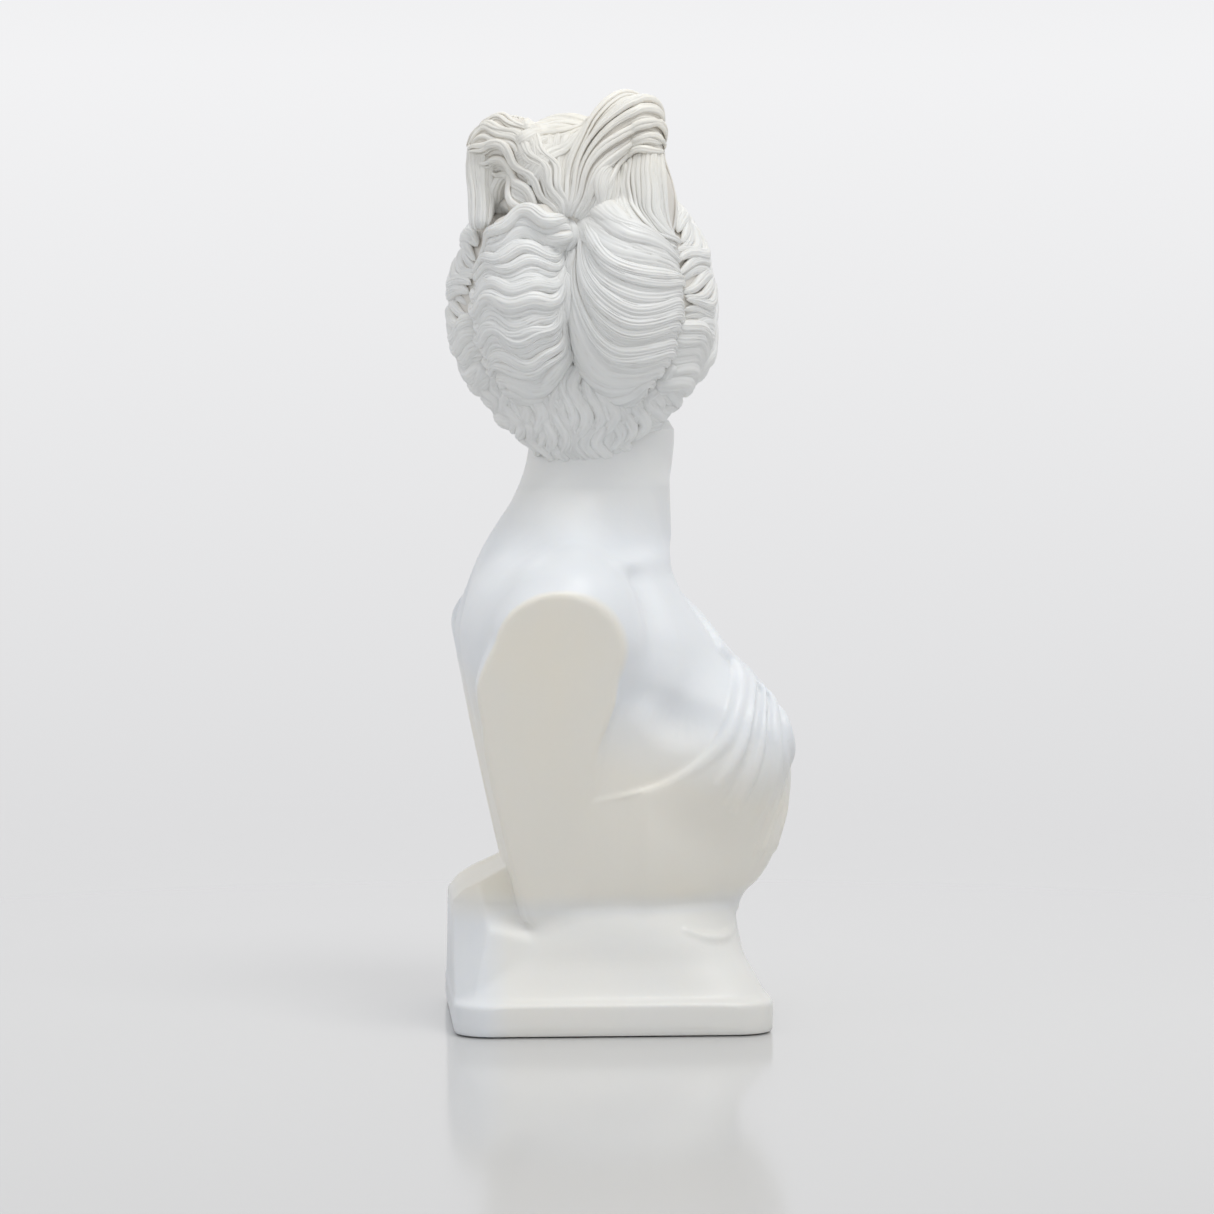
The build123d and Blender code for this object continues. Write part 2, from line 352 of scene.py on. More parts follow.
def slice_off(piece, height, keep_above):
    """Cuts a closed mesh along a level bed and closes it there with a flat face."""
    edit = bmesh.new()
    edit.from_mesh(piece.data)
    where = Vector((0, 0, height * MM))
    every = edit.verts[:] + edit.edges[:] + edit.faces[:]
    cut = bmesh.ops.bisect_plane(
        edit, geom=every, plane_co=where, plane_no=(0, 0, 1), dist=1e-6,
        clear_inner=keep_above, clear_outer=not keep_above,
    )
    rim = [e for e in cut["geom_cut"] if isinstance(e, bmesh.types.BMEdge) and e.is_valid]
    for edge in rim:
        edge.smooth = False
    filled = bmesh.ops.triangle_fill(edit, edges=rim, use_beauty=True, use_dissolve=False)
    for face in filled["geom"]:
        if isinstance(face, bmesh.types.BMFace):
            face.smooth = False
    bmesh.ops.recalc_face_normals(edit, faces=edit.faces[:])
    edit.to_mesh(piece.data)
    edit.free()


# ---- Torso and plinth ----

# The trunk under shoulders and drapery: height, half width, front, widest place, back, and how
# square it is in front and at the back (2 is an ellipse)
TRUNK = [
    (60, 92, -93, 24, 88, 2.1, 2.6),
    (84, 94, -92, 26, 88, 2.1, 2.6),
    (100, 99, -97, 30, 90, 2.1, 2.7),
    (112, 104, -109, 34, 93, 2.1, 2.7),
    (128, 109, -119, 38, 97, 2.1, 2.8),
    (150, 114, -126, 40, 102, 2.1, 2.8),
    (191, 122, -124, 42, 111, 2.1, 2.8),
    (225, 128, -113, 40, 119, 2.1, 2.7),
    (261, 134, -100, 34, 126, 2.1, 2.7),
    (290, 142, -84, 38, 129, 2.1, 2.7),
    (315, 146, -68, 40, 129, 2.1, 2.7),
    (340, 132, -52, 42, 125, 2.1, 2.5),
    (360, 104, -42, 40, 119, 2.1, 2.4),
    (380, 78, -36, 36, 110, 2.1, 2.3),
    (400, 62, -34, 28, 98, 2.1, 2.2),
    (428, 53, -35, 16, 80, 2.1, 2.1),
    (470, 50, -39, 12, 62, 2.0, 2.0),
]

# The mound on the slab, from a rounded rectangle up to the oval of the trunk
MOUND = [
    (10, 129, -112.5, 11, 136, 9, 9),
    (25, 128, -112, 11, 135, 9, 9),
    (31, 123, -109, 11, 133, 8, 8),
    (42, 117, -104, 11, 129, 6.4, 6),
    (56, 111, -97, 14, 122, 4.8, 4.4),
    (72, 107, -94, 18, 113, 3.6, 3.4),
    (88, 102, -93, 22, 102, 2.8, 2.8),
    (108, 94, -93, 26, 90, 2.2, 2.6),
]


def stack(rows, k):
    """A pile of level ovals, given row by row like the trunk's."""
    rows = np.array(rows, float)
    base, top = rows[0, 0], rows[-1, 0]
    heights = np.linspace(base, top, 200)
    smooth = curve(rows, 400)
    table = [np.interp(heights, smooth[:, 0], smooth[:, i]) for i in range(1, 7)]

    def distance(x, y, z):
        level = [np.interp(z, heights, t).astype(np.float32) for t in table]
        half, front, middle, back, power_front, power_back = level
        ahead = y < middle
        depth = np.where(ahead, middle - front, back - middle)
        power = np.where(ahead, power_front, power_back)
        u, v = np.abs(x / half) + 1e-3, np.abs((y - middle) / depth) + 1e-3
        near = (u**power + v**power) ** (1 / power)
        slope = np.sqrt((u ** (power - 1) / half) ** 2 + (v ** (power - 1) / depth) ** 2)
        flat = (near - 1) * near ** (power - 1) / slope
        return np.maximum(np.clip(flat, -60, 60), np.maximum(base - z, z - top))

    wide, front, back = rows[:, 1].max(), rows[:, 2].min(), rows[:, 4].max()
    return Mass(distance, (-wide, front, base), (wide, back, top), k)


# The mantle's hem: across the chest from the left shoulder, down the right side, where it is given
# from front to back and in height as it lies seen from the right, and under the arm up the back
HEM_FRONT = [(120, 16, 384), (86, -30, 366), (48, -58, 347), (8, -80, 324), (-28, -92, 304)]
HEM_SIDE = [(-91, 287), (-90, 271), (-84, 250), (-71, 225), (-50, 209), (-22, 195)]
HEM_BACK = [
    (-124, 14, 185), (-124, 48, 176), (-106, 90, 176), (-64, 116, 196), (0, 128, 246),
    (60, 128, 304), (104, 96, 356),
]
CLOTH = 4.0  # thickness that the mantle adds over the skin
HUB = 18  # how far behind the origin the middle lies, round which the hem turns


def seen_from_right(masses, places):
    """Points on the masses at places given as y and z, where they are seen from the right."""
    y, z = np.asarray(places, float).T
    p = np.stack([np.full(len(y), -185.0), y, z], 1)
    best, nearest = p.copy(), np.full(len(y), 1e9)
    for _ in range(80):
        d = distance_at(masses, p)
        closer = d < nearest
        best[closer], nearest[closer] = p[closer], d[closer]
        p[:, 0] = np.minimum(p[:, 0] + np.clip(d, 0, 20) * 0.7, 10)
    return best


def hem_line(body):
    """The whole hem, once round the body."""
    return np.vstack([HEM_FRONT, seen_from_right(body, HEM_SIDE), HEM_BACK])


def mantle_edge(hem, x, y):
    """Height of the hem in the direction of a place round the trunk."""
    rim = curve(hem, 300)
    turn = np.unwrap(np.arctan2(rim[:, 0], HUB - rim[:, 1]))
    order = np.argsort(turn)
    turn, height = turn[order], rim[order, 2]
    turn = np.concatenate([turn - 2 * np.pi, turn, turn + 2 * np.pi])
    height = np.tile(height, 3)
    return np.interp(np.arctan2(x, HUB - y), turn, height)


def torso_masses():
    """The bare torso and neck, in the order in which they are pressed together."""
    body = [stack(TRUNK, 6)]
    for side in (-1, 1):
        body += [
            blob((side * 60, -62, 219), (56, 66, 62), 22),  # breast
            blob((side * 70, 76, 286), (56, 50, 82), 26),  # shoulder blade
            limb((side * 26, 40, 404), (side * 100, 42, 350), 30, 28, 26),  # slope of the neck
            blob((side * 110, 48, 316), (57, 60, 60), 14),  # shoulder
            limb((side * 138, 62, 306), (side * 132, 67, 270), 46, 52, 8),  # arm
            limb((side * 132, 67, 270), (side * 120, 74, 214), 52, 42, 10),
            limb((side * 120, 74, 214), (side * 88, 64, 98), 42, 20, 14),
            vein([(side * 14, -32, 372), (side * 60, -18, 368), (side * 104, 10, 364)],
                 [2, 4, 3], 16),  # collar bone
        ]
    body += [
        limb((0, 24, 360), (4, 14, 470), 54, 50, 22),  # neck
        vein([(-22, -26, 430), (-10, -30, 396), (-4, -36, 370)], [9, 8, 5], 14),  # neck's cords
        vein([(44, 10, 450), (30, -14, 408), (6, -36, 370)], [12, 11, 6], 14),
        blob((0, -48, 372), (11, 9, 10), 16, cut=True),  # pit of the throat
        blob((0, -64, 212), (66, 66, 72), 22),  # what fills the cloth between the breasts
        vein([(0, 136, 360), (0, 140, 280), (0, 126, 180)], [9, 11, 8], 22, cut=True),  # spine
    ]
    return body


def dents(body):
    """Soft hollows in the flesh: before the right shoulder and at the armpit."""
    crease = seen_from_right(body, [(-10, 352), (-20, 326), (-23, 300), (-20, 272)])
    crease = on_surface(body, crease, 8.0)
    armpit = on_surface(body, seen_from_right(body, [(-14, 262), (-38, 246), (-60, 244)]), 13.0)
    return [vein(crease, [8, 11, 11, 8], 16, cut=True), vein(armpit, [12, 17, 12], 16, cut=True)]


def cloth_over(body, hem):
    """The mantle: the skin of the body below the hem, moved out by the cloth's thickness."""

    def distance(x, y, z):
        shape = np.broadcast(x, y, z).shape
        d = np.full(shape, 1e3, np.float32)
        for mass in body:
            d = mass.onto(d, x, y, z)
        above = (z - mantle_edge(hem, x, y)) * 0.75
        clings = np.clip((-x - 80) / 20, 0, 1) * np.clip((y + 14) / 18, 0, 1)  # under the right arm
        return -join(-(d - CLOTH * (1 - clings)), -above, 3.0)

    return Mass(distance, (-175, -145, 92), (175, 150, 400), 2.5)


# Folds on the right side, given from front to back and in height as they lie seen from the right
SIDE_RIDGES = [
    ([(-97, 280), (-97, 256), (-90, 232), (-78, 210), (-64, 190)], 6.0),
    ([(-103, 277), (-103, 246), (-99, 218), (-90, 192), (-76, 168)], 6.0),
    ([(-107, 272), (-112, 240), (-114, 214), (-108, 186), (-96, 156)], 6.5),
    ([(-112, 264), (-122, 236), (-128, 212), (-126, 186), (-117, 158), (-103, 130)], 6.5),
    ([(-92, 292), (-106, 280), (-118, 262), (-128, 240), (-134, 212), (-131, 176),
      (-122, 140)], 7.0),
]
SIDE_VALLEYS = [
    ([(-101, 276), (-99, 256), (-96, 234), (-89, 213), (-81, 196), (-69, 176)], 3.4),
    ([(-106, 270), (-107, 245), (-106, 220), (-99, 200), (-90, 180)], 2.6),
    ([(-108, 269), (-116, 250), (-120, 230), (-122, 208), (-117, 180), (-105, 152),
      (-93, 122)], 3.4),
    ([(-112, 262), (-124, 238), (-128, 212), (-126, 192), (-122, 172), (-113, 144),
      (-99, 116)], 3.2),
]
FRONT_RIDGES = [
    # pulled from the left shoulder to the gather, beside the hem
    ([(116, 10, 382), (82, -40, 356), (42, -72, 334), (0, -94, 310), (-40, -102, 290)], 8.5),
    ([(122, 2, 370), (88, -52, 338), (48, -88, 312), (6, -108, 288), (-36, -116, 270)], 9.5),
    # hanging from the left shoulder over the left breast
    ([(122, -4, 356), (98, -72, 300), (76, -112, 248), (50, -126, 190), (34, -118, 128)], 9),
    ([(128, 4, 344), (118, -58, 276), (106, -90, 216), (88, -98, 160), (74, -90, 120)], 8),
    ([(108, -16, 356), (74, -84, 300), (42, -120, 244), (22, -128, 184), (14, -118, 126)], 8),
    ([(-34, -122, 256), (-14, -128, 220), (-6, -126, 176), (-4, -116, 126)], 7),
    # across the back, up to the left shoulder
    ([(108, 92, 350), (60, 122, 290), (0, 120, 226), (-58, 108, 178)], 6.5),
    ([(112, 84, 330), (72, 118, 260), (16, 116, 196), (-40, 104, 150)], 7),
    ([(112, 80, 300), (80, 112, 222), (36, 110, 160), (-4, 98, 122)], 6.5),
    ([(108, 80, 262), (88, 100, 190), (60, 98, 138)], 6),
]
FRONT_VALLEYS = [
    ([(104, -18, 366), (66, -62, 342), (24, -90, 316), (-20, -106, 292)], 3.2),
    ([(110, -30, 350), (74, -80, 312), (32, -112, 280), (-8, -122, 258), (-34, -124, 240)], 3.2),
    ([(116, -30, 324), (98, -84, 264), (80, -110, 210), (62, -114, 150)], 3.2),
    ([(98, -50, 330), (62, -108, 270), (38, -126, 214), (26, -124, 150)], 3.0),
    ([(-24, -124, 240), (-8, -130, 200), (4, -122, 150)], 3.0),
]


# How far, in parts of its thickness, a fold's middle line lies from the face of the cloth: a ridge
# below it by SUNK, a valley above it by SUNK at the side and by OFF in front
SUNK = 0.30
OFF = 0.80


def folds(body):
    """The mantle's folds: soft ridges on the cloth, parted by narrow valleys."""
    made = []
    ridges, valleys = (SIDE_RIDGES, FRONT_RIDGES, False), (SIDE_VALLEYS, FRONT_VALLEYS, True)
    for beside, front, cut in (ridges, valleys):
        lines = [(seen_from_right(body, curve(seen, 14)), thick, SUNK) for seen, thick in beside]
        lines += [(curve(points, 14), thick, OFF) for points, thick in front]
        for line, thick, height in lines:
            lift = CLOTH + (height * thick if cut else -SUNK * thick)
            line = smooth_rows(on_surface(body, line, lift), 3)
            line = on_surface(body, line, lift)
            grow = np.sin(np.linspace(0.10, 0.95, len(line)) * np.pi) ** (1.2 if cut else 0.6)
            least = 0.05 if cut else 0.3
            made.append(vein(line[::2], list(thick * (least + (1 - least) * grow)), 4.0, cut))
    return made


def hem_roll(body, hem):
    """The turned edge of the mantle along the hem."""
    line = on_surface(body, curve(hem, 60), 0.5)
    thick = [4.6, 5.2, 6.0, 6.6, 7.0, 7.0, 1.5, 0.3, 1.5, 3.0, 4.0, 4.2, 4.2]
    return vein(line[::2], thick, 2.6)


ARM_CUT = (157, 325)  # half the width over the arm cuts at one height
ARM_LEAN = 0.245  # how far each arm cut leans out per unit of height


def cuts():
    """The flat cuts that end the arms, and the one that trims the lower back."""
    made = []
    for side in (-1, 1):
        made.append(half_space((side, 0, -ARM_LEAN), (side * ARM_CUT[0], 0, ARM_CUT[1]), 2.6))
    made.append(half_space((0, 1, -0.21), (0, 115, 225), 6))
    return made


PLINTH_BACK = 137.0
SLAB_TOP = 25.0


def slab(low, high, corner, k):
    """A box with rounded upright corners and a small soft arris all round."""
    middle = (np.array(low) + np.array(high)) / 2
    half = (np.array(high) - np.array(low)) / 2
    soft = 2.0

    def distance(x, y, z):
        u = np.maximum(np.abs(x - middle[0]) - half[0] + corner, 0)
        v = np.maximum(np.abs(y - middle[1]) - half[1] + corner, 0)
        side = np.sqrt(u * u + v * v) - corner + soft
        inner = np.maximum(np.abs(x - middle[0]) - half[0], np.abs(y - middle[1]) - half[1]) + soft
        side = np.where((u > 0) | (v > 0), side, np.maximum(inner, -corner))
        level = np.abs(z - middle[2]) - half[2] + soft
        out = np.sqrt(np.maximum(side, 0) ** 2 + np.maximum(level, 0) ** 2)
        return out + np.minimum(np.maximum(side, level), 0) - soft

    return Mass(distance, low, high, k)


def facets(planes, low, high, k, inner):
    """A block bounded by planes, each given as a normal and a point, with soft edges."""
    sides = [plane(normal, point) for normal, point in planes]

    def distance(x, y, z):
        d = sides[0](x, y, z)
        for side in sides[1:]:
            d = -join(-d, -side(x, y, z), inner)
        return d

    return Mass(distance, low, high, k)


def plinth_masses():
    """The slab, the mound on it, the post under the chest and the wall at the back."""
    wall = [((0, 0, 1), (0, 0, 136)), ((0, 0, -1), (0, 0, 8)), ((0, 1, 0), (0, PLINTH_BACK, 0))]
    wall.append(((0, -1, 0), (0, 60, 0)))
    wall.append(((0, 10, 9), (0, PLINTH_BACK, 100)))
    wall.append(((0, 17, 33), (0, 126, 111)))
    for side in (-1, 1):
        wall.append(((side, 0, 0.30), (side * 96, 0, 90)))
        wall.append(((side * 0.62, 0.70, 0.34), (side * 122, 112, 34)))
        wall.append(((side * 0.80, -0.10, 0.62), (side * 104, 100, 72)))
    mound = stack(MOUND, 6)
    lip = seen_from_right([mound], [(-46, 80), (-62, 74), (-76, 73), (-87, 78)])
    lip = on_surface([mound], lip, -1.5)
    return [
        slab((-130, -113.7, 1), (130, PLINTH_BACK, SLAB_TOP), 30, 1),
        mound,
        vein(lip, [2, 4.5, 4.5, 2], 3),
        facets(wall, (-128, 52, 6), (128, 140, 138), 2.5, 1.2),
    ]


def warmth_of_body(points):
    """How cream the stone is: warm on the arm cuts and under the mantle, cool above and below."""
    x, y, z = points.T
    depth = ARM_CUT[0] + ARM_LEAN * (z - ARM_CUT[1]) - np.abs(x)
    on_cut = np.clip((5 - depth) / 4, 0, 1) * np.clip((z - 96) / 20, 0, 1)
    low = np.clip((262 + 0.25 * y - z) / 60, 0, 1) * np.clip((z - 84) / 26, 0, 1)
    base = 0.5 * np.clip((110 - z) / 20, 0, 1) * np.clip((114 - y) / 20, 0, 1)
    neck = 0.35 * np.clip((z - 385) / 40, 0, 1)
    return np.maximum.reduce([on_cut, low, base, neck])


def carve_body():
    """Torso and plinth from one block of clay, parted along their bed."""
    body = torso_masses()
    body += dents(body)
    hem = hem_line(body)
    cloth = [cloth_over(body, hem), hem_roll(body, hem), *folds(body)]
    masses = [*body, *cloth, *cuts(), *plinth_masses()]
    points, faces = sculpt(masses, (-170, -142, -4), (170, 144, 436), BODY_STEP)
    points = polish(points, faces, 2)
    deep = hollowness(points, faces, 3) / BODY_STEP
    made = []
    for name, low, high in (("torso_stone", SEAT_Z, NECK_BED_Z), ("plinth_stone", None, SEAT_Z)):
        warm = warmth_of_body(points)
        # groove: how hollow the stone is, which the material turns into painted shade with a warm grime
        # tint
        piece = make_mesh(name, points, faces, groove=np.clip(deep * 3, -1, 1), warm=warm)
        if low:
            slice_off(piece, low, True)
        slice_off(piece, high, False)
        made.append(piece)
    torso, plinth = made
    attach(torso, "root")
    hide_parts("torso")
    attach(plinth, "root")
    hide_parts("plinth")
    return torso, plinth


# ---- Neck and face ----


def turned(mass):
    """A mass drawn in the head's frame, placed where the turned head stands."""
    c, s = math.cos(HEAD_TURN), math.sin(HEAD_TURN)
    ox, oy, oz = EYE_LEVEL

    def distance(x, y, z):
        u, v = x - ox, y - oy
        return mass.distance(c * u + s * v, c * v - s * u, z - oz)

    ends = np.array([mass.low, mass.high])
    pick = np.array([(i, j, k) for i in (0, 1) for j in (0, 1) for k in (0, 1)])
    corners = from_head(ends[pick, np.arange(3)])
    margin = 2 * mass.k
    return Mass(distance, corners.min(0) + margin, corners.max(0) - margin, mass.k, mass.cut)


def skull_masses():
    """The head under the hair: skull, jaw, cheeks and the soft parts round the mouth."""
    made = [
        blob((0, 2, 32), (74, 94, 82), 10),
        blob((0, -30, -30), (59, 61, 80), 14),
        blob((0, -30, 46), (62, 63, 48), 14),
        blob((0, -36, -84), (40, 44, 22), 14),
        vein([(50, -4, -62), (38, -46, -88), (0, -76, -99), (-38, -46, -88), (-50, -4, -62)],
             [17, 14, 13, 14, 17], 14),
        blob((0, -78, -66), (33, 23, 24), 12),
        blob((0, -83, -97), (17, 15, 15), 10),
    ]
    for side in (-1, 1):
        made.append(blob((side * 41, -60, -18), (22, 23, 19), 14))
        made.append(blob((side * 29, -62, -48), (24, 21, 26), 14))
    return made


def eye_masses():
    """Brow, socket, eyeball and lids, the same on both sides."""
    made = []
    for s in (-1, 1):
        made += [
            blob((s * 31, -99, 2), (19, 14, 12), 9, cut=True),
            vein([(s * 6, -90, 17), (s * 24, -90.5, 21), (s * 44, -77, 17)], [4.5, 5.5, 3.5], 13),
            blob((s * 31, -77, -1), (13.5, 13, 12.5), 1.0),
            vein([(s * 16, -87, -4), (s * 23, -91.2, 3.2), (s * 31, -92.2, 6), (s * 40, -89, 4),
                  (s * 47, -81, -3)], [1.4, 2.1, 2.3, 2.1, 1.4], 2.0),
            vein([(s * 16, -87, -4), (s * 23, -89.8, -7.4), (s * 31, -90.8, -9), (s * 39, -88, -7.6),
                  (s * 47, -81, -3)], [1.2, 1.6, 1.8, 1.6, 1.2], 2.2),
        ]
    return made


def nose_and_mouth():
    """Nose, lips and chin crease."""
    made = [
        limb((0, -86, 16), (0, -105, -32), 7.5, 7, 9),
        blob((0, -107.5, -36), (9.5, 9.5, 8.5), 7),
        vein([(24, -90, -66), (12, -98.5, -62.8), (4, -102, -60.4), (0, -101, -61.4), (-4, -102, -60.4),
              (-12, -98.5, -62.8), (-24, -90, -66)], [1.6, 4.0, 4.6, 4.3, 4.6, 4.0, 1.6], 2.8),
        vein([(22, -90, -67.5), (10, -97.6, -71), (0, -99.6, -72), (-10, -97.6, -71), (-22, -90, -67.5)],
             [1.6, 4.8, 5.6, 4.8, 1.6], 3.0),
        vein([(25, -92.5, -66), (10, -103.6, -66), (0, -106.2, -67), (-10, -103.6, -66),
              (-25, -92.5, -66)], [1.0, 1.4, 1.5, 1.4, 1.0], 1.5, cut=True),
        vein([(0, -105.5, -46), (0, -104, -56)], [2.0, 2.4], 3, cut=True),
        vein([(14, -101, -82), (0, -103, -83), (-14, -101, -82)], [3.5, 4.5, 3.5], 7, cut=True),
    ]
    for side in (-1, 1):
        made.append(blob((side * 9.5, -99, -40), (7, 10, 6.5), 6))
        made.append(blob((side * 5.5, -104, -46), (3.4, 5, 3.0), 2, cut=True))
    return made


def make_face():
    """Neck and face in one skin, bedded on the torso at the neck."""
    neck = [m for m in torso_masses() if m.high[2] > NECK_BED_Z - 20]
    neck.append(limb((4, 14, 465), (14, 20, 520), 50, 46, 18))
    features = [*skull_masses(), *eye_masses(), *nose_and_mouth()]
    masses = [*neck, *[turned(m) for m in features]]
    points, faces = sculpt(masses, (-76, -64, NECK_BED_Z - 6), (146, 116, 692), HEAD_STEP)
    points = polish(points, faces, 1)
    deep = hollowness(points, faces, 3) / HEAD_STEP
    warm = np.full(len(points), 0.35)
    # groove: how hollow the stone is, which the material turns into painted shade with a warm grime tint
    piece = make_mesh("face_stone", points, faces, groove=np.clip(deep * 3, -1, 1), warm=warm)
    slice_off(piece, NECK_BED_Z, True)
    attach(piece, "root")
    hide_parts("head")
    return piece


# ---- Hair ----

GROOVE_DEPTH = 1.15
STRAND_WIDTH = 2.4
THINNEST, WIDEST, THICKEST = 1.6, 13.0, 8.5  # limits on a lock's half width and thickness
BLUNT = 0.22  # the last part of a lock's length, over which it tapers


def hair_on_skull():
    """The rounded masses that the hair of the head lies on, in the head's frame."""
    made = [blob((0, 8, 24), (93, 102, 95), 10)]
    for side in (-1, 1):
        made.append(blob((side * 50, 46, 8), (52, 50, 80), 14))
        made.append(blob((side * 70, -8, -6), (27, 56, 52), 14))
        brow = [(side * 16, -76, 84), (side * 56, -64, 50), (side * 78, -34, 8)]
        made.append(vein(brow, [12, 15, 14], 12))
    made.append(blob((0, 50, -66), (64, 40, 50), 14))
    return made


def chignon_mass():
    """Two long lobes side by side with a deep parting between them."""
    return [
        blob((38, 88, 6), (41, 44, 72), 4),
        blob((-38, 88, 12), (45, 46, 78), 4),
        vein([(52, 104, 62), (24, 112, 74), (10, 112, 60)], [13, 11, 8], 10),
        vein([(0, 96, 60), (0, 94, 96)], [12, 9], 12),
        vein([(4, 140, 40), (4, 142, -20), (4, 134, -60)], [5, 7, 6], 7, cut=True),
    ]


def bow_mass():
    """The raised bow: a loop on either side of the knot, and the hair between them."""
    right = [(-1, 100, 68), (-5, 102, 92), (-16, 96, 118), (-30, 86, 142), (-44, 80, 148),
             (-52, 82, 128), (-55, 88, 98), (-62, 95, 72), (-70, 96, 50)]
    left = [(6, 104, 84), (20, 98, 106), (38, 90, 126), (56, 84, 134), (72, 84, 126), (76, 88, 100),
            (74, 92, 72)]
    return [
        vein(right, [10, 14, 17, 21, 22, 15, 11, 11, 12], 5),
        vein(left, [14, 17, 20, 21, 12, 9, 9], 5),
        blob((12, 54, 122), (38, 34, 34), 14),
        blob((-44, 58, 128), (20, 30, 38), 12),
        blob((60, 60, 112), (24, 30, 34), 12),
        blob((-52, 84, 84), (26, 20, 42), 8),
        blob((10, 84, 118), (26, 22, 30), 10),
        blob((-20, 96, 92), (15, 18, 28), 8),
        blob((34, 94, 88), (20, 16, 22), 8),
    ]


def seen_from_behind(masses, x, z):
    """Points on the masses at places given as x and z, where they are seen from behind."""
    p = np.stack([x, np.full(len(x), 165.0), z], 1)
    for _ in range(60):
        p[:, 1] -= np.clip(distance_at(masses, p), 0, 20) * 0.7
        p[:, 1] = np.maximum(p[:, 1], 20)
    return p


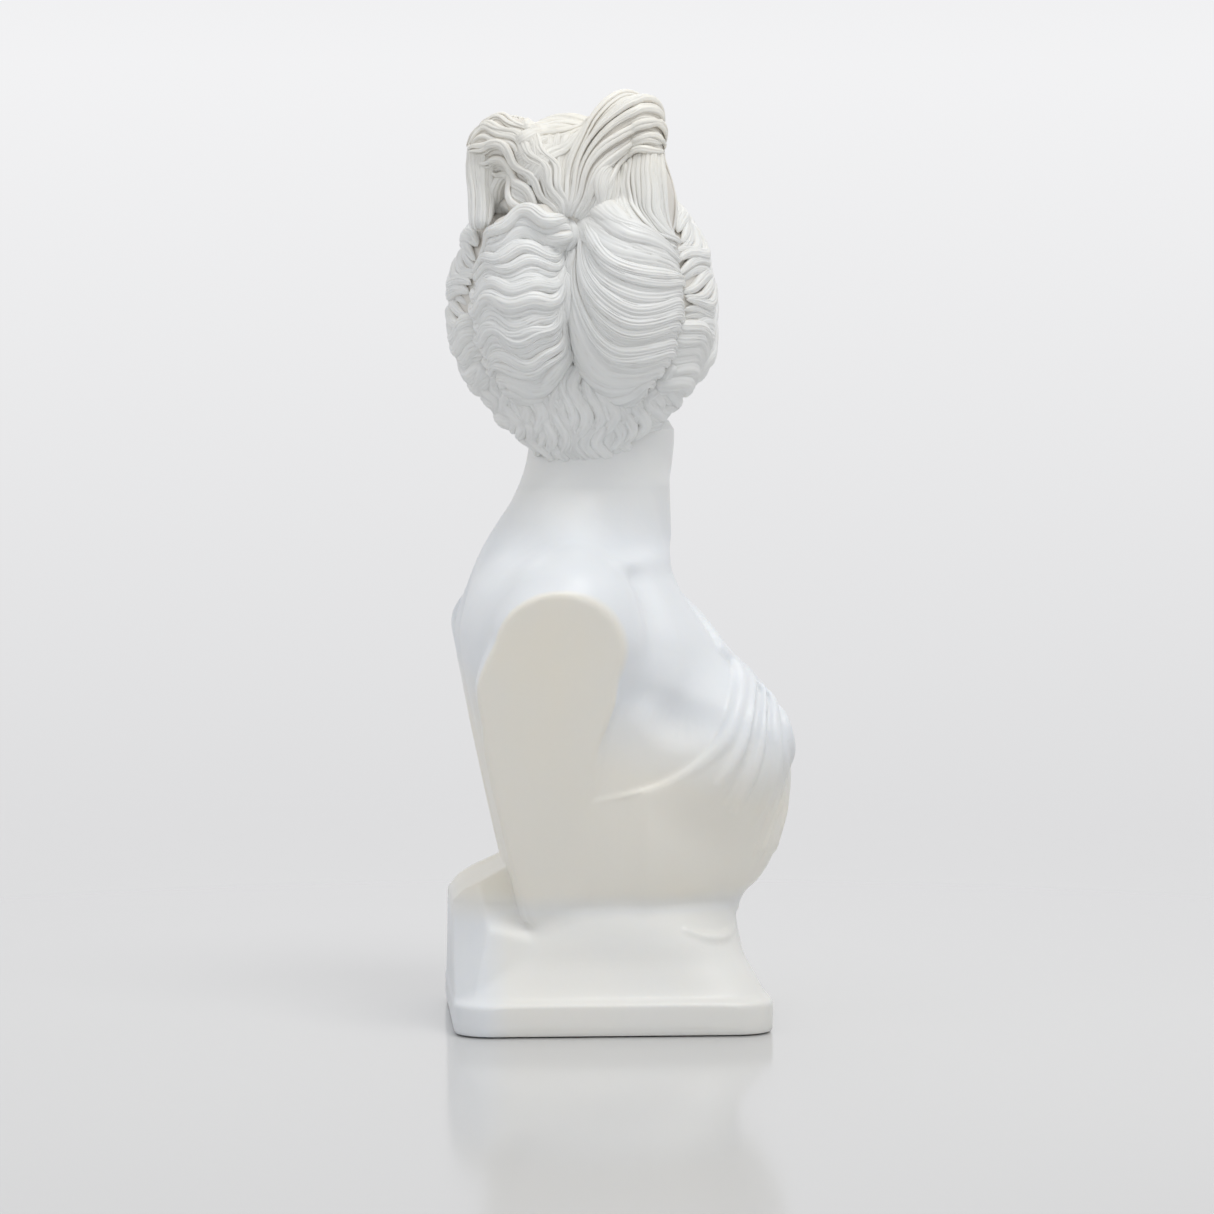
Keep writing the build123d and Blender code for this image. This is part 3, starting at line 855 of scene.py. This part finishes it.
class Locks:
    """Gathers locks of hair and makes them into one mesh."""

    def __init__(self, seed):
        self.random = np.random.default_rng(seed)
        self.points, self.faces, self.grooves = [], [], []
        self.count = 0

    def lock(self, line, normal, half, thick, strands, wave, blunt):
        """One lock along a line of points: an oval section with combed grooves on its outside."""
        n = len(line)
        t = np.linspace(0, 1, n)
        along = unit(np.gradient(line, axis=0))
        side = unit(np.cross(along, normal))
        out = np.cross(side, along)
        ends = np.clip(np.minimum(t / 0.07, (1 - t) / blunt), 0, 1)
        taper = np.sqrt(1 - (1 - ends) ** 2) * 0.97 + 0.03
        half = half * taper
        thick = thick * (0.35 + 0.65 * taper) * np.minimum(1, taper * 1.5)
        across = 5
        outer = max(9, strands * across)
        u = -np.cos(np.linspace(0, math.pi, outer + 1))
        u = 0.55 * u + 0.45 * np.linspace(-1, 1, outer + 1)
        phase = self.random.uniform(0, 1)
        drift = self.random.uniform(-0.35, 0.35) + wave * np.sin(2 * math.pi * (t * 1.5 + phase))
        where = (u[None, :] + 1) / 2 * strands + phase + drift[:, None]
        where = where + 0.22 * np.sin(2.1 * where + 9 * phase)
        ridge = np.abs(np.sin(math.pi * where)) ** 0.8
        strength = 0.62 + 0.38 * np.sin(2.6 * np.floor(where) + 20 * phase)
        ridge = 1 - (1 - ridge) * strength
        dome = np.sqrt(np.clip(1 - np.abs(u) ** 2.3, 0, 1))
        deep = (1 - ridge) * np.minimum(GROOVE_DEPTH, 0.30 * thick[:, None]) * dome
        lift = thick[:, None] * dome - deep
        under = -np.cos(np.linspace(math.pi, 0, 6))[1:-1] * 0.9
        x = np.hstack([np.tile(u, (n, 1)), np.tile(under, (n, 1))]) * half[:, None]
        floor = -0.45 * thick[:, None] * np.sqrt(1 - under**2)[None, :]
        y = np.hstack([lift, floor])
        ring = line[:, None, :] + x[..., None] * side[:, None, :] + y[..., None] * out[:, None, :]
        m = ring.shape[1]
        shade = (1 - ridge) ** 2 * 0.55 + (1 - dome) ** 2 * 0.9
        shade = np.hstack([shade, np.ones((n, len(under)))])
        self.points += [ring.reshape(-1, 3), line[:1], line[-1:]]
        self.grooves += [shade.ravel(), np.ones(2)]
        i = np.arange(n - 1)[:, None] * m
        j = np.arange(m)[None, :]
        k = (j + 1) % m
        quads = np.stack([i + j, i + m + j, i + m + k, i + k], -1).reshape(-1, 4) + self.count
        self.faces += quads.tolist()
        first, last = self.count + n * m, self.count + n * m + 1
        base = self.count + (n - 1) * m
        self.faces += [[first, self.count + a, self.count + (a + 1) % m] for a in range(m)]
        self.faces += [[last, base + (a + 1) % m, base + a] for a in range(m)]
        self.count += n * m + 2

    def comb(self, masses, guides, count, wave, lift, full, spread, jitter=0.3, relief=1.8):
        """Fills the surface between neighbouring guides with locks that follow them.

        wave is how far the locks swing and how often, lift how proud they lie, full how thick and
        spread how wide they are for their gap, and relief how much neighbours differ in height.
        """
        rough = [np.asarray(g, float) for g in guides]
        length = np.mean([reach_along(g)[-1] for g in rough])
        n = max(8, int(length / LOCK_STEP))
        grid = np.stack([curve(g, n) for g in rough])
        spots = np.linspace(0, len(guides) - 1, count)
        spots[1:-1] += self.random.uniform(-1, 1, count - 2) * jitter * (spots[1] - spots[0])
        lines = curve(grid.reshape(len(guides), -1), 241)
        reach = reach_along(lines)
        knots = curve_knots(grid.reshape(len(guides), -1), lines, reach)
        at = np.interp(spots, np.arange(len(guides)), knots)
        lines = np.stack([np.interp(at, reach, column) for column in lines.T], 1)
        lines = lines.reshape(count, n, 3)
        flat = on_surface(masses, lines.reshape(-1, 3)).reshape(count, n, 3)
        gap = np.linalg.norm(np.diff(flat, axis=0), axis=2)
        gap = np.vstack([gap[:1], 0.5 * (gap[1:] + gap[:-1]), gap[-1:]])
        amplitude, period = wave
        swell = relief * np.sin(np.cumsum(self.random.uniform(0.9, 1.9, count)))
        for row in range(count):
            line = flat[row]
            normal = smooth_rows(slope_at(masses, line), 2)
            side = unit(np.cross(np.gradient(line, axis=0), normal))
            far = reach_along(line)
            start = self.random.uniform(-0.08, 0.08)
            swing = np.sin(2 * math.pi * (far / period + start)) * np.minimum(1, far / 15)
            line = line + side * (amplitude * swing)[:, None]
            half = np.clip(smooth_rows(gap[row][:, None], 3)[:, 0] * 0.5 * spread, THINNEST, WIDEST)
            size = self.random.uniform(0.85, 1.3)
            half = half * size
            thick = np.clip(half * full, THINNEST, THICKEST) * self.random.uniform(0.9, 1.15)
            rise = np.clip(far / 40, 0, 1) * swell[row] + self.random.uniform(-0.4, 0.8)
            line = line + normal * (lift - 0.25 * thick + rise)[:, None]
            strands = int(np.clip(round(2 * half.max() / STRAND_WIDTH), 2, 6))
            self.lock(line, normal, half, thick, strands, 0.25, BLUNT)

    def mesh(self, name):
        """The finished mesh, moved to where the turned head stands."""
        points = np.vstack(self.points)
        warm = 0.42 + 0.5 * np.clip((points[:, 2] - 70) / 70, 0, 1)
        # The painted shade of the locks and of the mass under them, carried in the groove attribute
        grooves = np.concatenate(self.grooves)
        return make_mesh(name, from_head(points), self.faces, groove=grooves, warm=warm)


def curve_knots(given, dense, reach):
    """How far along the dense curve each given row lies."""
    return [reach[np.argmin(np.linalg.norm(dense - row, axis=1))] for row in given]


# Guides on the chignon, given from side to side and in height as they lie seen from behind.
# They leave the stem together and fan out; the head's left is positive.
RIGHT_FAN = [
    [(-6, 98), (-13, 88), (-29, 73), (-54, 60), (-85, 50)],
    [(-5, 98), (-11, 70), (-28, 46), (-56, 33), (-85, 31)],
    [(-4, 97), (-9, 58), (-25, 27), (-52, 11), (-84, 15)],
    [(-3, 96), (-7, 49), (-20, 10), (-46, -9), (-80, -3)],
    [(-1, 96), (-3, 33), (-14, -10), (-38, -33), (-74, -27)],
    [(1, 96), (0, 17), (-8, -26), (-28, -51), (-63, -48)],
    [(3, 94), (3, 2), (0, -38), (-12, -59), (-42, -64)],
    [(5, 90), (4, -6), (4, -46), (0, -62), (-14, -70)],
]
LEFT_FAN = [
    [(-2, 67), (13, 71), (32, 76), (52, 68), (80, 54)],
    [(-1, 53), (14, 42), (36, 44), (56, 40), (80, 38)],
    [(1, 40), (15, 18), (36, 16), (58, 18), (80, 12)],
    [(6, 20), (16, -10), (36, -18), (58, -12), (76, -18)],
    [(5, 8), (11, -26), (28, -40), (50, -36), (70, -40)],
    [(5, -6), (8, -38), (18, -54), (36, -60), (56, -54)],
    [(5, -20), (5, -46), (8, -60), (16, -66), (32, -68)],
]


def wrapped(masses, guides, side):
    """Guides laid on the back of the masses and carried on round their outer side."""
    made = []
    for guide in guides:
        g = np.asarray(guide, float)
        line = seen_from_behind(masses, g[:-1, 0], g[:-1, 1])
        x, z = g[-1]
        turn = [(x, 106, z), (x + side * 4, 88, z - 2), (x - side * 2, 72, z - 4)]
        made.append(np.vstack([line, turn]))
    return made


def make_chignon():
    """The chignon: two lobes of strands fanned out from the stem."""
    masses = chignon_mass()
    hair = Locks(SEED)
    hair.comb(masses, wrapped(masses, RIGHT_FAN, -1), 24, (0.7, 60.0), 0.8, 0.9, 1.5, relief=2.0)
    hair.comb(masses, wrapped(masses, LEFT_FAN, 1), 25, (2.9, 38.0), 0.8, 0.9, 1.5, relief=1.7)
    return finish_hair(hair, masses, "chignon_stone", "chignon", (-92, 76, -80), (92, 150, 120))


def finish_hair(hair, masses, name, node, low, high):
    points, faces = sculpt(masses, low, high, 2.4)
    hair.points.append(points)
    hair.faces += (faces + hair.count).tolist()
    # Painted shade: the mass under the locks, seen in the gaps between them, is darkened as if deep in a
    # groove
    hair.grooves.append(np.full(len(points), 0.8))
    hair.count += len(points)
    piece = hair.mesh(name)
    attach(piece, "root")
    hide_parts(node)
    return piece


# The bow's guides, in the head's frame
RIGHT_LOOP = [
    [(6, 124, 64), (2, 114, 108), (-10, 104, 140), (-28, 92, 162), (-48, 70, 166), (-58, 50, 150)],
    [(2, 126, 66), (-6, 116, 106), (-20, 108, 134), (-39, 100, 150), (-57, 84, 154), (-64, 60, 140)],
    [(-4, 126, 66), (-12, 116, 98), (-24, 108, 120), (-41, 100, 135), (-58, 92, 140), (-66, 74, 130)],
    [(-10, 122, 64), (-20, 112, 86), (-27, 106, 102), (-37, 100, 118), (-50, 94, 128), (-61, 82, 126)],
]
RIGHT_LEG = [
    [(-21, 100, 114), (-21, 106, 92), (-26, 118, 71), (-50, 126, 53), (-84, 110, 44)],
    [(-32, 96, 114), (-31, 102, 92), (-37, 114, 72), (-56, 120, 57), (-86, 106, 48)],
    [(-44, 98, 122), (-43, 102, 96), (-48, 110, 75), (-64, 112, 61), (-87, 100, 52)],
    [(-54, 94, 126), (-54, 98, 98), (-58, 104, 74), (-72, 106, 58), (-88, 94, 52)],
    [(-62, 86, 126), (-65, 90, 100), (-69, 96, 78), (-80, 98, 64), (-90, 88, 58)],
]
LEFT_LOOP = [
    [(2, 122, 70), (8, 116, 100), (26, 110, 134), (48, 100, 152), (70, 84, 152), (84, 66, 138)],
    [(6, 122, 66), (14, 116, 92), (30, 110, 116), (48, 104, 134), (68, 96, 142), (86, 84, 130)],
    [(10, 118, 62), (20, 112, 82), (34, 108, 98), (48, 104, 116), (62, 100, 126), (80, 96, 122)],
    [(12, 114, 54), (26, 108, 66), (38, 106, 79), (49, 102, 94), (59, 98, 108), (68, 94, 110)],
]
LEFT_LEG = [
    [(84, 90, 134), (84, 92, 110), (82, 96, 88), (80, 98, 60)],
    [(76, 96, 128), (76, 98, 108), (74, 102, 86), (74, 104, 58)],
    [(66, 96, 122), (64, 98, 104), (62, 102, 84), (62, 106, 60)],
]
BETWEEN = [
    [(30, 104, 98), (22, 104, 112), (8, 102, 126), (-10, 100, 140)],
    [(42, 98, 126), (24, 98, 134), (6, 94, 140), (-14, 92, 152)],
    [(46, 82, 148), (22, 84, 150), (2, 84, 146), (-20, 84, 156)],
    [(44, 58, 150), (20, 62, 158), (-4, 64, 154), (-30, 62, 164)],
    [(46, 36, 140), (18, 34, 152), (-10, 34, 148), (-34, 38, 156)],
    [(46, 22, 112), (16, 20, 124), (-12, 22, 126), (-40, 26, 120)],
]
OVER_RIGHT = [
    [(-30, 88, 166), (-34, 62, 168), (-40, 38, 146), (-40, 30, 116)],
    [(-46, 84, 168), (-50, 60, 164), (-56, 40, 142), (-54, 34, 112)],
    [(-60, 78, 152), (-66, 58, 146), (-66, 44, 128), (-62, 40, 104)],
    [(-66, 76, 136), (-70, 66, 116), (-72, 64, 92), (-76, 66, 66)],
    [(-68, 82, 128), (-74, 78, 106), (-78, 80, 84), (-84, 82, 58)],
]
OVER_LEFT = [
    [(44, 90, 154), (44, 64, 152), (42, 40, 136), (38, 28, 108)],
    [(62, 84, 154), (64, 60, 146), (62, 42, 128), (58, 32, 102)],
    [(80, 78, 138), (84, 62, 126), (80, 48, 110), (74, 42, 90)],
    [(84, 84, 130), (88, 72, 112), (86, 66, 92), (80, 66, 66)],
    [(85, 90, 124), (88, 84, 104), (86, 84, 84), (82, 86, 60)],
]
BOW_HOLLOW = [
    [(40, 88, 108), (50, 78, 100), (56, 74, 84), (56, 78, 66)],
    [(34, 92, 96), (42, 80, 88), (46, 78, 76), (46, 84, 62)],
    [(52, 84, 116), (60, 74, 106), (66, 72, 86), (66, 76, 66)],
]
BOW_VALLEY = [
    [(2, 122, 72), (4, 114, 104), (-2, 106, 130), (-14, 98, 148)],
    [(4, 122, 72), (11, 113, 104), (12, 106, 128), (8, 98, 142)],
    [(7, 120, 70), (18, 112, 98), (28, 106, 120), (38, 98, 138)],
]


def make_bow():
    """The bow: strands that climb from the knot over each loop and down its far leg."""
    masses = bow_mass()
    hair = Locks(SEED + 1)
    hair.comb(masses, BETWEEN, 24, (1.4, 36.0), 0.0, 0.8, 1.35)
    hair.comb(masses, OVER_RIGHT, 20, (1.0, 40.0), 0.0, 0.7, 1.35)
    hair.comb(masses, OVER_LEFT, 20, (1.4, 34.0), 0.0, 0.7, 1.35)
    hair.comb(masses, BOW_HOLLOW, 9, (0.6, 50.0), 0.0, 0.8, 1.3, relief=1.0)
    hair.comb([*masses, *chignon_mass()], RIGHT_LEG, 18, (0.6, 50.0), 0.4, 0.8, 1.35)
    hair.comb(masses, BOW_VALLEY, 10, (0.8, 50.0), -0.6, 0.8, 1.4, relief=1.0)
    hair.comb(masses, LEFT_LEG, 8, (0.4, 50.0), 0.0, 0.7, 1.35, relief=0.8)
    hair.comb(masses, RIGHT_LOOP, 17, (0.8, 60.0), 0.6, 0.9, 1.35, relief=2.4)
    hair.comb(masses, LEFT_LOOP, 19, (2.6, 34.0), 0.6, 0.9, 1.35, relief=2.0)
    return finish_hair(hair, masses, "bow_stone", "hair_bow", (-90, 10, 40), (100, 140, 180))


# The guides of one side of the head, in the head's frame
WAVES = [
    [(14, -97, 66), (43, -89, 30), (61, -71, -8), (69, -47, -42), (74, -4, -60), (66, 46, -72)],
    [(12, -92, 78), (52, -78, 44), (74, -52, 6), (84, -16, -24), (84, 24, -44), (70, 62, -56)],
    [(0, -88, 90), (36, -86, 74), (66, -66, 42), (86, -30, 10), (96, 12, -10), (92, 50, -20),
     (76, 82, -24)],
    [(-2, -74, 106), (40, -64, 96), (74, -38, 62), (94, 4, 32), (98, 44, 14), (84, 80, 6)],
    [(-2, -46, 118), (42, -36, 112), (78, -6, 84), (94, 30, 54), (94, 60, 42), (78, 86, 34)],
    [(-2, -14, 122), (38, -4, 118), (68, 22, 96), (84, 50, 74), (80, 74, 62)],
    [(-2, 20, 121), (28, 28, 116), (52, 44, 102), (66, 62, 86)],
]
ROLLS = [
    [(84, 16, -34), (92, 44, -20), (88, 74, -12), (74, 86, -6)],
    [(80, 10, -50), (88, 42, -42), (84, 70, -38), (68, 84, -36)],
    [(70, 10, -66), (78, 40, -62), (72, 66, -62), (56, 80, -60)],
    [(58, 14, -84), (64, 40, -84), (58, 62, -84), (44, 74, -80)],
]


def mirrored(guides, side):
    """The guides as given for the head's left, or their mirror image for its right."""
    return [[(side * x, y, z) for x, y, z in guide] for guide in guides]


def make_head_hair():
    """Waves from the centre parting, rolls beside the chignon, and curls on the nape."""
    masses = hair_on_skull()
    hair = Locks(SEED + 2)
    for side in (-1, 1):
        waves, rolls = mirrored(WAVES, side), mirrored(ROLLS, side)
        hair.comb(masses, waves, 27, (3.8, 58.0), 1.6, 0.85, 1.75, jitter=0.15, relief=2.0)
        hair.comb(masses, rolls, 10, (3.0, 46.0), 2.2, 0.9, 1.75, jitter=0.15, relief=2.0)
    nape_curls(hair, masses)
    masses.append(blob((0, -104, -34), (62, 78, 112), 6, cut=True))  # room for the face
    return finish_hair(hair, masses, "hair_stone", "head", (-112, -112, -124), (112, 112, 128))


# Rows of curls on the nape: how many, how far they reach to a side, top, bottom and half width
NAPE_ROWS = [(16, 72, -38, -100, 7.2), (14, 58, -56, -113, 6.4), (10, 38, -86, -128, 5.4)]


def nape_curls(hair, masses):
    """Loose S-shaped curls that hang below the chignon onto the neck."""
    hair.random = np.random.default_rng(SEED + 5)
    for count, reach, top, bottom, half in NAPE_ROWS:
        for i in range(count):
            x = reach * (2 * i / (count - 1) - 1) + hair.random.uniform(-2, 2)
            bend = hair.random.uniform(4.0, 6.5)
            drop = (top - bottom) * (1 - 0.35 * (x / reach) ** 2)
            z = np.array([top, top - 0.35 * drop, top - 0.7 * drop, top - drop])
            xs = x * np.array([1.0, 0.98, 0.93, 0.86]) + bend * np.array([-0.6, 1, -1, 0.8])
            bends = np.stack([xs, np.full(4, 60.0), z], 1)
            line = curve(bends, max(10, int(drop * 1.3 / LOCK_STEP)))
            line = seen_from_behind(masses, line[:, 0], line[:, 2])
            normal = smooth_rows(slope_at(masses, line), 2)
            size = half * hair.random.uniform(0.8, 1.15)
            line = line + normal * hair.random.uniform(0.5, 2.5)
            width = np.full(len(line), size)
            hair.lock(line, normal, width, width * 1.25, 4, 0.5, 0.4)


# ---- Node trees ----


class Nodes:
    """Shorthand for building the node tree of a material or of the room."""

    def __init__(self, owner, last):
        owner.use_nodes = True
        self.tree = owner.node_tree
        self.last = self.tree.nodes[last]

    def feed(self, node, values):
        """Gives a node's inputs their values, or links them to other nodes' outputs."""
        for key, value in values.items():
            if isinstance(value, bpy.types.NodeSocket):
                self.tree.links.new(value, node.inputs[key])
            else:
                node.inputs[key].default_value = value

    def add(self, kind, values=None, **settings):
        node = self.tree.nodes.new(kind)
        for key, value in settings.items():
            setattr(node, key, value)
        self.feed(node, values or {})
        return node

    def finish(self, values):
        """Feeds the last node: the stone's surface, or the room's background."""
        self.feed(self.last, values)

    def noise(self, place, scale, detail=4.0, rough=0.55, warp=0.0):
        values = {"Vector": place, "Scale": scale, "Detail": detail, "Roughness": rough}
        return self.add("ShaderNodeTexNoise", {**values, "Distortion": warp}).outputs["Fac"]

    def ramp(self, factor, *stops):
        """A ramp of colours or, where a stop has one number, of greys."""
        node = self.add("ShaderNodeValToRGB", {"Fac": factor})
        while len(node.color_ramp.elements) < len(stops):
            node.color_ramp.elements.new(0.5)
        for element, (place, colour) in zip(node.color_ramp.elements, stops):
            element.position = place
            element.color = (*(colour if isinstance(colour, tuple) else 3 * (colour,)), 1)
        return node.outputs["Color"]

    def mix(self, factor, first, second):
        first, second = [(*end, 1) if isinstance(end, tuple) else end for end in (first, second)]
        node = self.add("ShaderNodeMix", data_type="RGBA")
        self.feed(node, {0: factor, 6: first, 7: second})
        return node.outputs[2]

    def maths(self, what, first, second):
        return self.add("ShaderNodeMath", {0: first, 1: second}, operation=what).outputs[0]


# ---- Camera, light and floor ----

VIEW_TURN = math.radians(-94.0)  # 0 looks at the chest, -90 at the right shoulder
VIEW_RISE = math.radians(2.0)
VIEW_DISTANCE = 3.2
VIEW_TARGET = Vector((0.0, 0.0098, 0.331))
VIEW_WIDTH = 0.981  # what the picture spans at the target, in metres


def set_camera():
    """The camera, level with the bust and a little behind its right shoulder."""
    data = bpy.data.cameras.new("camera")
    camera = bpy.data.objects.new("camera", data)
    bpy.context.scene.collection.objects.link(camera)
    flat = math.cos(VIEW_RISE)
    way = Vector((math.sin(VIEW_TURN) * flat, -math.cos(VIEW_TURN) * flat, math.sin(VIEW_RISE)))
    camera.location = VIEW_TARGET + VIEW_DISTANCE * way
    camera.rotation_euler = way.to_track_quat("Z", "Y").to_euler()
    data.sensor_width = 36.0
    data.lens = data.sensor_width * VIEW_DISTANCE / VIEW_WIDTH
    data.clip_end = 200.0
    bpy.context.scene.camera = camera
    bpy.context.scene.view_settings.view_transform = "Standard"


def add_lamp(name, turn, rise, distance, size, watts, colour):
    """A square soft box aimed at the bust's middle."""
    data = bpy.data.lights.new(name, "AREA")
    data.shape = "SQUARE"
    data.size = size
    data.energy = watts
    data.color = colour
    lamp = bpy.data.objects.new(name, data)
    bpy.context.scene.collection.objects.link(lamp)
    t, r = math.radians(turn), math.radians(rise)
    way = Vector((math.sin(t) * math.cos(r), -math.cos(t) * math.cos(r), math.sin(r)))
    lamp.location = Vector((0, 0, 0.38)) + distance * way
    lamp.rotation_euler = way.to_track_quat("Z", "Y").to_euler()


# Brightness of the room by height, from straight down at -1 to straight up at 1
ROOM = [
    (-1.0, 0.46), (-0.30, 0.58), (-0.17, 0.66), (0.10, 0.89), (0.22, 0.82), (0.5, 0.56), (1.0, 0.74),
]
ROOM_BLUE = 1.012  # how much bluer than grey the room is

# Name, turn and rise in degrees, distance and size in metres, power in watts, and colour
LAMPS = [
    ("key", -62, 64, 2.4, 0.9, 21, (1.0, 0.995, 0.98)),
    ("fill", -150, 40, 3.0, 1.6, 3, (0.96, 0.98, 1.0)),
    ("rim", 90, 40, 3.0, 1.8, 10, (0.98, 0.99, 1.0)),
]


def set_light():
    """A pale room, one large soft key and two weaker fills."""
    room = bpy.data.worlds.new("room")
    n = Nodes(room, "Background")
    way = n.add("ShaderNodeTexCoord").outputs["Generated"]
    rise = n.add("ShaderNodeSeparateXYZ", {0: way}).outputs["Z"]
    fade = n.add("ShaderNodeMapRange", {"Value": rise, "From Min": -1.0, "From Max": 1.0})
    stops = [((height + 1) / 2, (grey, grey, grey * ROOM_BLUE)) for height, grey in ROOM]
    n.finish({"Color": n.ramp(fade.outputs["Result"], *stops)})
    bpy.context.scene.world = room
    for lamp in LAMPS:
        add_lamp(*lamp)


FLOOR_GREY = (0.63, 0.63, 0.63, 1)
FLOOR_REACH = 3.0
FLOOR_FADE = (0.35, 2.4)  # where the floor begins to melt into the room, and where it has


def set_floor():
    """A wide pale floor with a faint gloss."""
    edit = bmesh.new()
    bmesh.ops.create_circle(edit, cap_ends=True, radius=FLOOR_REACH, segments=96)
    mesh = bpy.data.meshes.new("floor")
    edit.to_mesh(mesh)
    edit.free()
    floor = bpy.data.objects.new("floor", mesh)
    bpy.context.scene.collection.objects.link(floor)
    material = bpy.data.materials.new("pale_floor")
    n = Nodes(material, "Principled BSDF")
    place = n.add("ShaderNodeTexCoord").outputs["Object"]
    far = n.add("ShaderNodeVectorMath", {0: place}, operation="LENGTH").outputs["Value"]
    fade = n.add(
        "ShaderNodeMapRange", {"Value": far, "From Min": FLOOR_FADE[0], "From Max": FLOOR_FADE[1],
                               "To Min": 1.0, "To Max": 0.0}, interpolation_type="SMOOTHSTEP")
    n.finish({"Base Color": FLOOR_GREY, "Roughness": 0.12, "Specular IOR Level": 0.35,
              "Alpha": fade.outputs["Result"]})
    mesh.materials.append(material)


# ---- Materials ----


COOL = (0.785, 0.815, 0.845)
WHITE = (0.825, 0.850, 0.872)
CREAM = (0.88, 0.84, 0.735)
# Painted shade with a warm grime tint: the dark warm grey that the grooves are mixed towards
HOLLOW_SHADE_GRIME = (0.60, 0.55, 0.48)  # in the grooves
GRAIN = (0.62, 0.63, 0.65)
SPECK = (0.45, 0.44, 0.43)


def marble(name):
    """Honed statuary marble: cool and cream clouds, painted shade with a warm grime tint in the grooves,
    a few grey specks.
    """
    stone = bpy.data.materials.new(name)
    n = Nodes(stone, "Principled BSDF")
    place = n.add("ShaderNodeTexCoord").outputs["Object"]
    cloud = n.ramp(n.noise(place, 7.0, 6.0, 0.6, 0.6), (0.36, 0.0), (0.66, 1.0))
    body = n.mix(cloud, COOL, WHITE)
    wash = n.ramp(n.noise(place, 3.3, 3.0, 0.5, 0.9), (0.44, 0.0), (0.62, 1.0))
    warm = n.add("ShaderNodeAttribute", attribute_name="warm").outputs["Fac"]
    share = n.maths("ADD", n.maths("MULTIPLY", wash, 0.25), 0.75)
    body = n.mix(n.maths("MULTIPLY", share, warm), body, CREAM)
    # Painted shade in the hollows: the groove attribute darkens the stone towards a warm grey, with a
    # little grime tint
    groove = n.add("ShaderNodeAttribute", attribute_name="groove").outputs["Fac"]
    hollow_shade_mask = n.ramp(groove, (0.12, 0.0), (0.85, 1.0))
    body = n.mix(n.maths("MULTIPLY", hollow_shade_mask, 0.55), body, HOLLOW_SHADE_GRIME)
    grain = n.noise(place, 420.0, 3.0, 0.6)
    body = n.mix(n.maths("MULTIPLY", grain, 0.06), body, GRAIN)
    speck = n.ramp(n.noise(place, 130.0, 2.0, 0.5), (0.79, 0.0), (0.83, 1.0))
    body = n.mix(n.maths("MULTIPLY", speck, 0.35), body, SPECK)
    rough = n.ramp(n.noise(place, 26.0, 4.0, 0.6), (0.3, 0.36), (0.75, 0.50))
    height = n.maths("ADD", n.noise(place, 60.0, 3.0, 0.5), n.maths("MULTIPLY", grain, 0.25))
    bump = n.add("ShaderNodeBump", {"Height": height, "Strength": 0.10, "Distance": 0.0012})
    n.finish({"Base Color": body, "Roughness": rough, "Normal": bump.outputs["Normal"], "IOR": 1.49,
              "Subsurface Weight": 0.12, "Subsurface Radius": (0.010, 0.008, 0.006),
              "Subsurface Scale": 1.0})
    return stone


def steel():
    """Drawn stainless bar: fine lines along it and a little variation."""
    bar = bpy.data.materials.new("drawn_steel")
    n = Nodes(bar, "Principled BSDF")
    place = n.add("ShaderNodeTexCoord").outputs["Object"]
    long = n.add("ShaderNodeMapping", {"Vector": place, "Scale": (900.0, 900.0, 40.0)})
    lines = n.noise(long.outputs["Vector"], 1.0, 4.0, 0.6)
    n.finish({"Base Color": n.mix(lines, (0.47, 0.48, 0.49), (0.62, 0.63, 0.64)), "Metallic": 1.0,
              "Roughness": n.ramp(lines, (0.3, 0.22), (0.8, 0.42))})
    return bar


def felt():
    """Dense dark wool felt: matted fibres and a soft sheen."""
    pad = bpy.data.materials.new("wool_felt")
    n = Nodes(pad, "Principled BSDF")
    place = n.add("ShaderNodeTexCoord").outputs["Object"]
    fibre = n.noise(place, 1500.0, 5.0, 0.7, 2.0)
    bump = n.add("ShaderNodeBump", {"Height": fibre, "Strength": 0.6, "Distance": 0.0004})
    n.finish({"Base Color": n.mix(fibre, (0.05, 0.055, 0.05), (0.16, 0.17, 0.155)), "Roughness": 0.95,
              "Normal": bump.outputs["Normal"], "Sheen Weight": 0.4})
    return pad


def dress(thing, material):
    """Gives an object one material in place of whatever it had."""
    thing.data.materials.clear()
    thing.data.materials.append(material)


# ---- The whole bust ----

set_camera()
set_light()
set_floor()

torso, plinth = carve_body()
dress(torso, marble("marble_body"))
dress(plinth, marble("marble_base"))
dress(make_face(), marble("marble_head"))
hair_stone = marble("marble_hair")
for piece in (make_head_hair(), make_chignon(), make_bow()):
    dress(piece, hair_stone)
for node in ("plinth_dowel", "neck_dowel", "bow_pins", "chignon_pins"):
    dress(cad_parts[node], steel())
dress(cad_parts["felt_pads"], felt())
